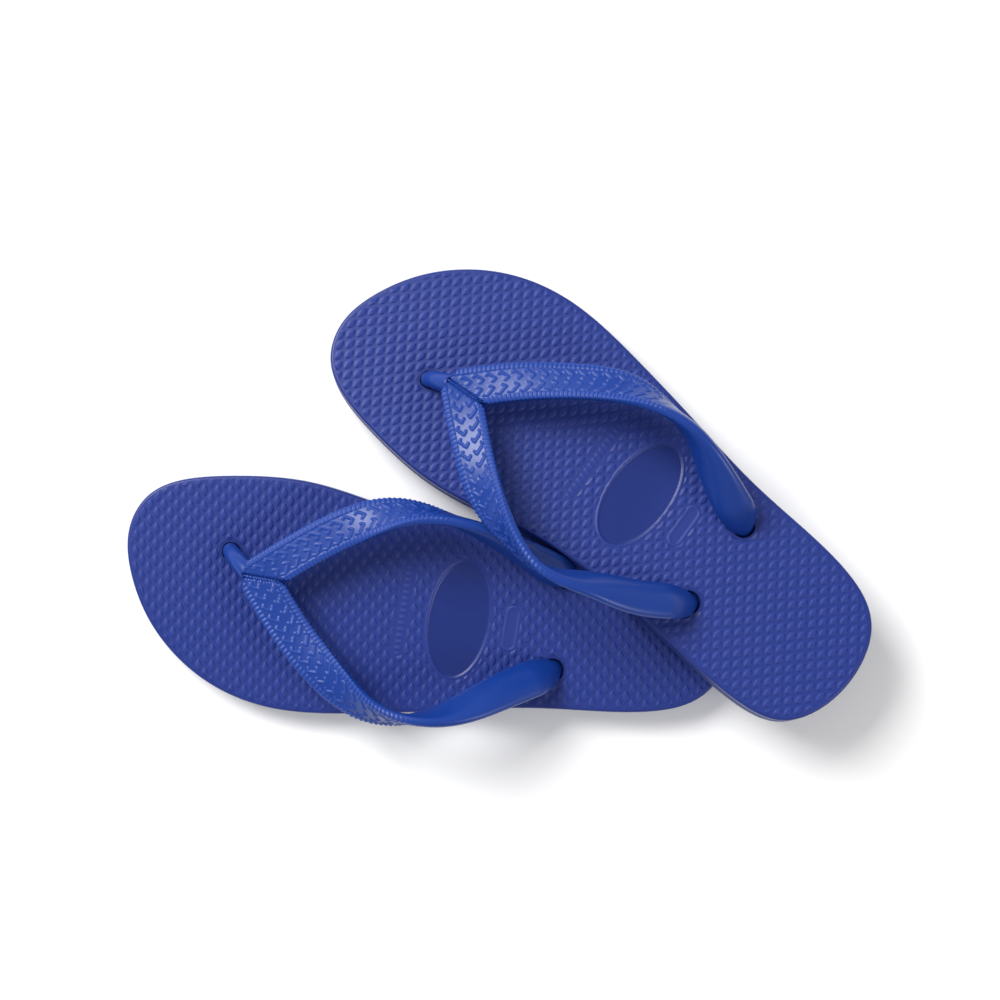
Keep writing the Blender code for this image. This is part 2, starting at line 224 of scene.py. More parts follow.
def make_piece(
    name: str, shells: list[Shell], placement: Matrix, material: bpy.types.Material
) -> bpy.types.Object:
    """Joins shells into one object in the frame's axes.

    Args:
        name: the piece's name.
        shells: closed shells in shoe axes.
        placement: the shoe's place in the frame.
        material: the piece's finish.

    Returns:
        The new object.
    """
    points, faces, relief, start = [], [], [], 0
    for shell in shells:
        outwards = signed_volume(shell.points, shell.faces) > 0
        turned = shell.faces if outwards else [face[::-1] for face in shell.faces]
        faces += turned if start == 0 else [[k + start for k in face] for face in turned]
        points.append(shell.points)
        relief.append(shell.relief)
        start += len(shell.points)
    placed = np.vstack(points) @ np.array(placement.to_3x3()).T + np.array(placement.translation)
    mesh = bpy.data.meshes.new(name)
    mesh.from_pydata(placed.tolist(), [], faces)
    # relief: the share of painted light for the colour, 0 for painted shade in hollows, 1 for painted light
    # on raised tops
    layer = mesh.attributes.new("relief", "FLOAT", "POINT")
    layer.data.foreach_set("value", np.concatenate(relief).astype(np.float32))
    if shells[0].plan is not None:
        layer = mesh.attributes.new("plan", "FLOAT_VECTOR", "POINT")
        layer.data.foreach_set("vector", shells[0].plan.astype(np.float32).ravel())
    mesh.materials.append(material)
    mesh.validate()
    mesh.shade_smooth()
    mesh.set_sharp_from_angle(angle=math.radians(62))
    item = bpy.data.objects.new(name, mesh)
    bpy.context.scene.collection.objects.link(item)
    LOG.info("%s: %d points", name, len(mesh.vertices))
    return item


class Wire:
    """A shader socket that takes part in Python expressions."""

    def __init__(self, board: "Board", socket: bpy.types.NodeSocket) -> None:
        """Wraps a socket of a board's tree."""
        self.board = board
        self.socket = socket

    def maths(self, operation: str, *values: "Wire | float") -> "Wire":
        """Adds one Math node that works on values in the order given."""
        return self.board.node("ShaderNodeMath", {"operation": operation}, dict(enumerate(values)))

    def __add__(self, other: "Wire | float") -> "Wire":
        """self + other"""
        return self.maths("ADD", self, other)

    __radd__ = __add__

    def __sub__(self, other: "Wire | float") -> "Wire":
        """self - other"""
        return self.maths("SUBTRACT", self, other)

    def __rsub__(self, other: "Wire | float") -> "Wire":
        """other - self"""
        return self.maths("SUBTRACT", other, self)

    def __mul__(self, other: "Wire | float") -> "Wire":
        """self * other"""
        return self.maths("MULTIPLY", self, other)

    __rmul__ = __mul__

    def __truediv__(self, other: "Wire | float") -> "Wire":
        """self / other"""
        return self.maths("DIVIDE", self, other)

    def fraction(self) -> "Wire":
        """What is left of self above the whole number below it."""
        return self.maths("FRACT", self)

    def larger(self, other: "Wire | float") -> "Wire":
        """The larger of self and other."""
        return self.maths("MAXIMUM", self, other)

    def step(self, low: float, high: float) -> "Wire":
        """0 below low, 1 above high and smooth between them."""
        return self.board.node(
            "ShaderNodeMapRange",
            {"interpolation_type": "SMOOTHSTEP"},
            {"Value": self, "From Min": low, "From Max": high},
        )


class Board:
    """One material's node tree."""

    def __init__(self, name: str) -> None:
        """Starts a material with its own shader."""
        self.material = bpy.data.materials.new(name)
        self.material.use_nodes = True
        self.tree = self.material.node_tree
        self.shader = self.tree.nodes["Principled BSDF"]

    def node(self, kind: str, settings: dict, inputs: dict, output: int | str = 0) -> Wire:
        """Adds a node.

        Args:
            kind: the node's type.
            settings: its own properties, set first. A ramp's stops are under "stops".
            inputs: values or wires for its sockets, by name or number.
            output: which socket to read.

        Returns:
            The output as a wire.
        """
        made = self.tree.nodes.new(kind)
        for key, value in settings.items():
            if key == "stops":
                while len(made.color_ramp.elements) < len(value):
                    made.color_ramp.elements.new(0.5)
                for element, (place, colour) in zip(made.color_ramp.elements, value):
                    element.position = place
                    element.color = (*colour, 1)
            else:
                setattr(made, key, value)
        for key, value in inputs.items():
            self.feed(made.inputs[key], value)
        return Wire(self, made.outputs[output])

    def feed(self, socket: bpy.types.NodeSocket, value: "Wire | float | tuple") -> None:
        """Links a wire to a socket, or sets its value."""
        if isinstance(value, Wire):
            self.tree.links.new(value.socket, socket)
        else:
            socket.default_value = value

    def mix(self, factor: Wire | float, first: Wire | tuple, second: Wire | tuple) -> Wire:
        """A colour between two colours."""
        made = self.tree.nodes.new("ShaderNodeMix")
        made.data_type = "RGBA"
        for number, value in ((0, factor), (6, first), (7, second)):
            self.feed(made.inputs[number], (*value, 1) if isinstance(value, tuple) else value)
        return Wire(self, made.outputs[2])

    def noise(self, scale: float, detail: float = 3, roughness: float = 0.5) -> Wire:
        """Noise in the frame's axes, with its scale in cells per metre."""
        place = self.node("ShaderNodeTexCoord", {}, {}, "Object")
        inputs = {"Vector": place, "Scale": scale, "Detail": detail, "Roughness": roughness}
        return self.node("ShaderNodeTexNoise", {}, inputs)


@dataclass(frozen=True)
class SoleShape:
    """Outline and thicknesses of the sole, in metres."""

    length: float = 0.256
    width: float = 0.0958
    toe_thickness: float = 0.0125
    heel_thickness: float = 0.0155
    footbed_thickness: float = 0.0050
    rim_round: float = 0.0012
    flex_from_toe: float = 0.082
    bend_length: float = 0.020
    toe_tip_across: float = 0.655
    heel_tip_across: float = 0.625
    stations: tuple[tuple[float, float, float], ...] = (
        (0.020, 0.450, 0.820),
        (0.070, 0.250, 0.915),
        (0.160, 0.075, 0.975),
        (0.280, 0.000, 1.000),
        (0.420, 0.040, 0.945),
        (0.560, 0.115, 0.915),
        (0.700, 0.190, 0.950),
        (0.840, 0.235, 0.990),
        (0.940, 0.310, 0.960),
        (0.985, 0.430, 0.820),
    )

    def outline(self) -> np.ndarray:
        """The edge as (along, across) points from the toe tip down the outer side."""
        outer = [(along, out) for along, out, _ in self.stations]
        inner = [(along, into) for along, _, into in reversed(self.stations)]
        corners = [(0, self.toe_tip_across), *outer, (1, self.heel_tip_across), *inner]
        corners.append(corners[0])
        points = (np.array(corners) - (0, 0.5)) * (self.length, self.width)
        knots = np.r_[0, np.cumsum(np.sqrt(np.linalg.norm(np.diff(points, axis=0), axis=1)))]
        return spline(knots, points, np.linspace(0, knots[-1], 4001)[:-1], closed=True)

    def tucked(self, distance: float) -> tuple[np.ndarray, np.ndarray]:
        """The outline moved in by a distance, as its outer and inner chains from toe to heel."""
        ring = self.outline()
        run = np.roll(ring, -1, axis=0) - np.roll(ring, 1, axis=0)
        run /= np.linalg.norm(run, axis=1)[:, None]
        normal = np.column_stack([-run[:, 1], run[:, 0]])
        if np.sum(normal * (ring.mean(axis=0) - ring)) < 0:
            normal = -normal
        ring = ring + distance * normal
        ring = np.roll(ring, -int(ring[:, 0].argmin()), axis=0)
        heel = int(ring[:, 0].argmax())
        return ring[: heel + 1], np.vstack([ring[heel:], ring[:1]])[::-1]

    def height(self, along: np.ndarray | float) -> np.ndarray | float:
        """Height of the top above the underside."""
        return self.toe_thickness + (self.heel_thickness - self.toe_thickness) * along / self.length


@dataclass(frozen=True)
class StrapShape:
    """Where the thong goes and how big it is, in metres."""

    post_from_toe: float = 0.0438
    post_across: float = 0.0140
    side_holes_from_toe: float = 0.1842
    outer_hole_inset: float = 0.0164
    inner_hole_inset: float = 0.0176
    post_diameter: float = 0.0069
    side_stem_diameter: float = 0.0085
    toe_plug_diameter: float = 0.0160
    side_plug_diameter: float = 0.0180
    plug_thickness: float = 0.0027
    plug_recess: float = 0.0006
    start_from_toe: float = 0.0583
    nose_from_toe: float = 0.0530
    start_height: float = 0.0150
    foot_height: float = 0.0042
    half_spread: float = 0.0415
    ribbon_width: float = 0.0158
    ribbon_thickness: float = 0.0036
    tail_width: float = 0.0165
    tail_thickness: float = 0.0075
    foot_width: float = 0.0148
    foot_roll: float = 155
    foot_narrows_from: float = 0.94
    swells_between: tuple[float, float] = (0.45, 0.80)
    nose_give: float = 0.25
    stub_depth: float = 0.0032
    stub_ease: float = 2.3
    boxiness: float = 0.40
    stations: tuple[tuple[float, float], ...] = (
        (0.12, 0.66),
        (0.26, 0.77),
        (0.42, 0.92),
        (0.57, 1.00),
        (0.72, 0.92),
        (0.86, 0.62),
    )


@dataclass(frozen=True)
class StrapLie:
    """How one shoe's soft thong has settled: spreads and rolls at the stations of each branch."""

    arch: float
    start_across: float
    outer: tuple[tuple[float, float], ...]
    inner: tuple[tuple[float, float], ...]

    def branch(self, branch: Branch) -> tuple[tuple[float, float], ...]:
        """The spreads and rolls of one branch."""
        return self.outer if branch is Branch.OUTER else self.inner


LIES = {
    Side.LEFT: StrapLie(
        arch=0.0235,
        start_across=0.0060,
        outer=((0.42, -6), (0.80, 12), (1.09, 52), (1.12, 87), (0.96, 126), (0.70, 152)),
        inner=((0.31, 6), (0.62, 10), (0.84, 46), (0.87, 82), (0.78, 106), (0.64, 130)),
    ),
    Side.RIGHT: StrapLie(
        arch=0.0270,
        start_across=0.0118,
        outer=((0.31, 6), (0.60, 18), (0.84, 29), (0.90, 65), (0.82, 102), (0.63, 138)),
        inner=((0.35, 12), (0.71, 31), (0.96, 72), (1.06, 98), (0.92, 128), (0.75, 152)),
    ),
}


@dataclass(frozen=True)
class FootbedRelief:
    """The moulded pattern of a footbed: slanting grains, a smooth oval and a small plain label field."""

    turn: float = 7.5
    pitch_along: float = 5.58 * MM
    pitch_across: float = 6.65 * MM
    grain_half_width: float = 1.30 * MM
    grain_half_length: float = 2.55 * MM
    grain_slope: float = 0.40 * MM
    grain_height: float = 0.28 * MM
    bump_height: float = 0.34 * MM
    edge_margin: float = 0.2 * MM
    oval_from_toe: float = 142.4 * MM
    oval_across: float = 1.5 * MM
    oval_half_along: float = 13.0 * MM
    oval_half_across: float = 24.5 * MM
    oval_depth: float = 0.25 * MM
    rim_half_width: float = 0.40 * MM
    rim_height: float = 0.35 * MM
    pill_from_toe: float = 164.5 * MM
    pill_half_length: float = 9.0 * MM
    pill_half_width: float = 2.6 * MM
    label_from_toe: float = 119.0 * MM
    label_half_length: float = 19.0 * MM
    label_half_width: float = 2.6 * MM
    letter_pitch: float = 2.6 * MM
    letter_share: float = 0.2
    letter_half_height: float = 1.1 * MM
    letter_rise: float = 0.22 * MM

    def grains(self, along: np.ndarray, across: np.ndarray) -> np.ndarray:
        """Height of the grains, from 0 to 1."""
        turn = math.radians(self.turn)
        u = along * math.cos(turn) + across * math.sin(turn)
        v = across * math.cos(turn) - along * math.sin(turn)
        top = np.zeros_like(u)
        for shift in (0.0, 0.5):
            du = ((u / self.pitch_along + shift + 0.5) % 1 - 0.5) * self.pitch_along
            dv = ((v / self.pitch_across + shift + 0.5) % 1 - 0.5) * self.pitch_across
            width = self.grain_half_width * (1 - (dv / self.grain_half_length) ** 2)
            lean = np.clip((width - du) / (2 * self.grain_half_width), 0, 1)
            back = smooth(width - du, -0.1 * MM, 2 * self.grain_slope)
            front = smooth(width + du, -0.1 * MM, self.grain_slope)
            top = np.maximum(top, front * back * (0.55 + 0.45 * lean))
        return top

    def crisp(self, board: Board) -> tuple[Wire, Wire]:
        """The grains as shader maths, sharper than the mesh can carry: their height, and their front edges as
        the mask of a painted highlight.
        """
        plan = board.node("ShaderNodeAttribute", {"attribute_name": "plan"}, {}, "Vector")
        axes = [board.node("ShaderNodeSeparateXYZ", {}, {"Vector": plan}, name) for name in "XYZ"]
        turn = math.radians(self.turn)
        u = axes[0] * math.cos(turn) + axes[1] * math.sin(turn)
        v = axes[1] * math.cos(turn) - axes[0] * math.sin(turn)
        tops, edges = [], []
        pitch_along, pitch_across = self.pitch_along / MM, self.pitch_across / MM
        for shift in (0.5, 1.0):
            du = ((u / pitch_along + shift).fraction() - 0.5) * pitch_along
            dv = ((v / pitch_across + shift).fraction() - 0.5) * (self.pitch_across / self.grain_half_length)
            width = (1 - dv * dv) * (self.grain_half_width / MM)
            lean = (width - du).step(0.0, 2 * self.grain_half_width / MM) * 0.4 + 0.6
            back = (width - du).step(0.0, 0.6)
            front = width + du
            tops.append(front.step(0.0, 0.18) * back * lean)
            # the front edge band masks the painted highlight: a bright arc of light painted on each grain's
            # front edge
            edges.append(front.step(-0.16, 0.06) * (1 - front.step(0.16, 0.42)) * back)
        return tops[0].larger(tops[1]) * axes[2], edges[0].larger(edges[1]) * axes[2]

    def oval_distance(self, along: np.ndarray, across: np.ndarray) -> np.ndarray:
        """Distance outside the oval's edge, negative inside it."""
        x = (along - self.oval_from_toe) / self.oval_half_along
        y = (across - self.oval_across) / self.oval_half_across
        reach = np.hypot(x, y)
        slope = np.hypot(x / self.oval_half_along, y / self.oval_half_across) / np.maximum(reach, 1e-6)
        return (reach - 1) / np.maximum(slope, 1e-6)

    @staticmethod
    def pill_distance(along: np.ndarray, across: np.ndarray, half: tuple[float, float]) -> np.ndarray:
        """Distance outside a pill of a half length and half width that lies across the shoe at zero."""
        beyond = np.maximum(np.abs(across) - (half[0] - half[1]), 0)
        return np.hypot(along, beyond) - half[1]

    def height(self, along: np.ndarray, across: np.ndarray, from_edge: np.ndarray) -> tuple[np.ndarray, ...]:
        """The whole relief.

        Args:
            along: distance from the toe.
            across: distance from the middle line.
            from_edge: distance from the sole's edge.

        Returns:
            The height in metres, the share of painted light for the colour, full on a raised top, and the
            room left for grains.
        """
        oval = self.oval_distance(along, across)
        middle = across - self.oval_across
        along_pill, along_label = along - self.pill_from_toe, along - self.label_from_toe
        pill = self.pill_distance(along_pill, middle, (self.pill_half_length, self.pill_half_width))
        label = self.pill_distance(along_label, middle, (self.label_half_length, self.label_half_width))
        room = smooth(from_edge, self.edge_margin, self.edge_margin + 1.0 * MM)
        room = room * smooth(oval, 0.8 * MM, 2.2 * MM) * smooth(pill, 0.6 * MM, 1.8 * MM)
        room = room * smooth(label, 0.2 * MM, 1.2 * MM)
        grain = self.grains(along, across) * room
        rims = np.exp(-((oval / self.rim_half_width) ** 2))
        rims = rims + 0.8 * np.exp(-((pill / self.rim_half_width) ** 2))
        letters = np.exp(-((((across / self.letter_pitch) % 1 - 0.5) / self.letter_share) ** 2))
        letters = letters * (np.abs(along_label) < self.letter_half_height)
        letters = letters * smooth(-label, 0.2 * MM, 0.8 * MM)
        sunk = -self.oval_depth * smooth(-oval, -0.3 * MM, 0.9 * MM)
        height = grain * self.grain_height + rims * self.rim_height + sunk + letters * self.letter_rise
        plain = smooth(oval, -0.4 * MM, 0.4 * MM)
        # Painted light and shade: the plain ground is painted half lit, raised grains, rims and letters
        # lighter, and the sunk oval in the darker shaded colour
        return height, np.clip(0.55 * plain + 0.45 * (grain + rims + letters), 0, 1), room


@dataclass(frozen=True)
class RubberFinish:
    """Moulded blue rubber with slight unevenness of colour and gloss, painted lighter on raised tops and
    darker in hollows as painted light and shade, and with a painted highlight on the grains' front edges.
    """

    name: str
    # painted shade colour for hollows and painted light colour for raised tops
    shaded_hollow: tuple[float, float, float]
    lit_crest: tuple[float, float, float]
    cloud: tuple[float, float, float]
    roughness: float
    specular: float
    skin: float
    grain: FootbedRelief | None = None
    # painted highlight: colour and strength of the bright arcs of light painted on the grains' front edges
    painted_glint_colour: tuple[float, float, float] = (0.045, 0.080, 0.360)
    painted_glint_strength: float = 0.5
    cloud_scale: float = 28
    grit_scale: float = 1900
    grit_height: float = 0.08 * MM

    def make(self) -> bpy.types.Material:
        """Builds the material."""
        board = Board(self.name)
        height = board.node("ShaderNodeAttribute", {"attribute_name": "relief"}, {}, "Fac")
        clouds = board.noise(self.cloud_scale, 4, 0.55)
        grit = board.noise(self.grit_scale, 2, 0.6)
        # Painted light and shade: the relief attribute mixes from the shaded colour of hollows to the lit
        # colour of raised tops
        colour = board.mix(height, self.shaded_hollow, self.lit_crest)
        colour = board.mix((clouds - 0.42) * 1.6, colour, self.cloud)
        lower = {}
        if self.grain is not None:
            crisp, edge = self.grain.crisp(board)
            # Painted highlight: the grains' front edges are painted paler, as bright arcs of glinting light
            colour = board.mix(edge * self.painted_glint_strength, colour, self.painted_glint_colour)
            inputs = {"Strength": 1.0, "Distance": self.grain.bump_height, "Height": crisp}
            lower = {"Normal": board.node("ShaderNodeBump", {}, inputs)}
        board.feed(board.shader.inputs["Base Color"], colour)
        gloss = (height - 0.55) * 0.24 + (clouds - 0.5) * 0.18 + (grit - 0.5) * 0.05
        board.feed(board.shader.inputs["Roughness"], self.roughness + gloss)
        board.shader.inputs["Specular IOR Level"].default_value = self.specular
        inputs = {"Strength": self.skin, "Distance": self.grit_height, "Height": grit, **lower}
        board.feed(board.shader.inputs["Normal"], board.node("ShaderNodeBump", {}, inputs))
        return board.material


@dataclass(frozen=True)
class TreadRelief:
    """The pattern under a sole: shallow waves with a plain rim."""

    pitch: float = 5.2 * MM
    swing: float = 2.0 * MM
    wavelength: float = 14.0 * MM
    depth: float = 0.7 * MM
    edge_margin: float = 5.0 * MM

    def height(self, along: np.ndarray, across: np.ndarray, from_edge: np.ndarray) -> tuple[np.ndarray, ...]:
        """How far the grooves go up into the sole, and one less their share of the full depth as the share of
        painted light, which paints the grooves in shade.
        """
        phase = (along + self.swing * np.sin(across / self.wavelength * 2 * math.pi)) / self.pitch
        groove = smooth(np.cos(phase * 2 * math.pi), 0.35, 0.8)
        groove = groove * smooth(from_edge, self.edge_margin, self.edge_margin + 1.0 * MM)
        # The second value is painted light: the grooves are painted in the darker shaded colour
        return groove * self.depth, 1 - groove, np.zeros_like(groove)


@dataclass
class SoleFace:
    """A relief-covered face of the sole and the wall that leads from its edge to the far side."""

    sole: SoleShape
    up: int
    step: float
    columns: int
    wells: list[tuple[float, ...]] = field(default_factory=list)
    tip_rows: int = 14
    # share of painted light on the sole's wall, lower than on the face's raised tops: painted shade on the
    # sides
    wall_painted_light: float = 0.35

    def rows(self, low: float, high: float) -> np.ndarray:
        """Distances along, close together near both tips."""
        gaps = []
        total = 0.0
        while total < (high - low) / 2:
            gaps.append(self.step * min(1.0, (len(gaps) + 1) / self.tip_rows))
            total += gaps[-1]
        places = np.cumsum(gaps)[:-1]
        places = places * ((high - low) / 2) / (places[-1] + self.step / 2)
        return np.r_[low + places, high - places[::-1]]

    def level(self, along: np.ndarray) -> np.ndarray:
        """Height of the plain face: the sole's top where it looks up, its underside where it looks down."""
        return self.sole.height(along) if self.up > 0 else np.zeros_like(along)

    def plan(self) -> tuple[np.ndarray, ...]:
        """The face's grid, with its nearest points drawn onto the rims of the wells.

        Returns:
            Distances along, across and from the edge, and the toe's and heel's tips.
        """
        outer, inner = self.sole.tucked(self.sole.rim_round)
        along = self.rows(outer[0, 0], outer[-1, 0])
        low = np.interp(along, outer[:, 0], outer[:, 1])
        high = np.interp(along, inner[:, 0], inner[:, 1])
        x = np.repeat(along[:, None], self.columns, axis=1)
        y = low[:, None] + (high - low)[:, None] * np.linspace(0, 1, self.columns)
        from_low = (y - low[:, None]) / np.hypot(1, np.gradient(low, along)[:, None])
        from_high = (high[:, None] - y) / np.hypot(1, np.gradient(high, along)[:, None])
        from_tip = np.minimum(x - outer[0, 0], outer[-1, 0] - x) + 0.5 * self.sole.rim_round
        for wx, wy, radius, _ in self.wells:
            reach = np.hypot(x - wx, y - wy)
            near = np.abs(reach - radius) < self.step * 0.5
            pull = np.where(near, radius / np.maximum(reach, 1e-9), 1)
            x, y = wx + (x - wx) * pull, wy + (y - wy) * pull
        return x, y, np.minimum(np.minimum(from_low, from_high), from_tip), outer[[0, -1]]

    def wall(self, edge: np.ndarray, loops: list[tuple[float, float]]) -> list[np.ndarray]:
        """Loops of points around the face.

        Args:
            edge: the face's edge in plan.
            loops: how far each loop is outside the edge, and how far below the sole's top. For a face that
                looks down, a second number above zero is the loop's height above the underside, and one
                below zero still runs down from the sole's top.

        Returns:
            The points of each loop.
        """
        run = np.roll(edge, -1, axis=0) - np.roll(edge, 1, axis=0)
        run /= np.linalg.norm(run, axis=1)[:, None]
        normal = np.column_stack([run[:, 1], -run[:, 0]])
        if np.sum(normal * (edge - edge.mean(axis=0))) < 0:
            normal = -normal
        rings = []
        for out, drop in loops:
            loop = edge + normal * out
            top = self.sole.height(loop[:, 0])
            if self.up > 0:
                tall = top - drop
            else:
                tall = top + drop if drop < 0 else np.full(len(edge), drop)
            rings.append(np.column_stack([loop, tall]))
        return rings

    def build(
        self, relief: FootbedRelief | TreadRelief, hand: int, loops: list[tuple[float, float]]
    ) -> Shell:
        """Makes the face, its wall and the strips that close the far side.

        Args:
            relief: the pattern.
            hand: the shoe's hand.
            loops: the wall's loops, from the face to the far edge.

        Returns:
            The closed shell.
        """
        x, y, from_edge, tips = self.plan()
        height, painted_light, room = relief.height(x, y, from_edge)
        for wx, wy, radius, depth in self.wells:
            reach = np.hypot(x - wx, y - wy)
            calm = smooth(reach, radius + 0.8 * MM, radius + 2.4 * MM)
            height = height * calm - self.up * depth * (reach < radius - self.step * 0.25)
            # painted shade: the colour fades to the shaded tone around and in the holes
            painted_light, room = painted_light * calm, room * calm
        face = np.stack([x, y * hand, self.level(x) + height], -1).reshape(-1, 3)
        ends = np.column_stack([tips[:, 0], tips[:, 1] * hand, self.level(tips[:, 0])])
        count, total = len(x), x.size
        toe, heel, first = total, total + 1, total + 2
        last = total - self.columns
        faces = grid_faces(count, self.columns, False)
        faces += [[toe, k + 1, k] for k in range(self.columns - 1)]
        faces += [[heel, last + k, last + k + 1] for k in range(self.columns - 1)]
        rim = [toe, *range(0, total, self.columns), heel, *range(total - 1, 0, -self.columns)]
        size = len(rim)
        rings = self.wall(np.vstack([face, ends])[rim, :2], loops)
        faces += [[rim[k], rim[(k + 1) % size], first + (k + 1) % size, first + k] for k in range(size)]
        faces += grid_faces(len(loops), size, True, first)
        far = first + (len(loops) - 1) * size
        strips = [[0, 1, size - 1], [count, count + 1, count + 2]]
        strips += [[k, k + 1, size - 1 - k, size - k] for k in range(1, count)]
        faces += [[far + k for k in strip] for strip in strips]
        points = np.vstack([face, ends, *rings])
        # painted light for each point: the face's share, the tips in painted shade, the wall at its own share
        painted_lights = np.r_[painted_light.ravel(), 0, 0, np.full(len(loops) * size, self.wall_painted_light)]
        plan = points * (1, hand, 0) / MM
        plan[:total, 2] = room.ravel()
        return Shell(points, faces, painted_lights, plan)


@dataclass(frozen=True)
class RibbonRelief:
    """The moulded pattern on a branch: hooked dashes in two rows between ribbed edges, in millimetres."""

    pitch: float = 5.2
    stroke_half_width: float = 0.36
    stroke_height: float = 0.42
    rib_pitch: float = 1.85
    rib_inner: float = 5.35
    rib_height: float = 0.32
    notch_depth: float = 1.0
    fades_between: tuple[float, float] = (0.50, 0.62)
    strokes: tuple[tuple[float, float, float, float], ...] = (
        (-5.0, 0.2, -1.7, 3.4),
        (-1.7, 3.4, -1.0, 2.0),
        (-5.0, 0.2, -4.4, -1.0),
        (4.6, 1.5, 2.1, 4.5),
        (2.1, 4.5, 0.9, 3.1),
        (4.6, 1.5, 3.7, 0.8),
    )

    def dashes(self, run: np.ndarray, side: np.ndarray) -> np.ndarray:
        """Height of the dashes from 0 to 1, with run and side in millimetres."""
        nearest = np.full(run.shape, 9.0)
        phase = run % self.pitch
        for ax, ay, bx, by in self.strokes:
            for shift in (-self.pitch, 0.0, self.pitch):
                px, py = side - ax, phase - ay - shift
                dx, dy = bx - ax, by - ay
                share = np.clip((px * dx + py * dy) / (dx * dx + dy * dy), 0, 1)
                nearest = np.minimum(nearest, np.hypot(px - share * dx, py - share * dy))
        return 1 - smooth(nearest, self.stroke_half_width - 0.14, self.stroke_half_width + 0.16)

    def height(self, run: np.ndarray, side: np.ndarray, share: np.ndarray, seam: np.ndarray) -> np.ndarray:
        """Height of the pattern in millimetres.

        Args:
            run: distance along the branch from the seam's middle, in millimetres.
            side: distance from the branch's middle line, in millimetres.
            share: share of the way back to the side hole.
            seam: distance from the mitre seam, in millimetres.

        Returns:
            The height of each point.
        """
        fade = 1 - smooth(share, *self.fades_between)
        clear = smooth(seam, 1.6, 3.2)
        body = self.dashes(run, side) * (1 - smooth(np.abs(side), 4.8, 5.1)) * clear * self.stroke_height
        wave = smooth(np.cos(run / self.rib_pitch * 2 * math.pi), -0.35, 0.55)
        band = smooth(np.abs(side), self.rib_inner - 0.2, self.rib_inner + 0.25)
        ribs = (0.12 + wave * self.rib_height) * band * smooth(seam, 0.6, 1.6)
        teeth = np.abs((side / 0.95) % 1 - 0.5) * 2
        notch = 1 - smooth(seam, 0.35, 0.70 + 2.1 * teeth)
        return (body + ribs) * fade - notch * self.notch_depth


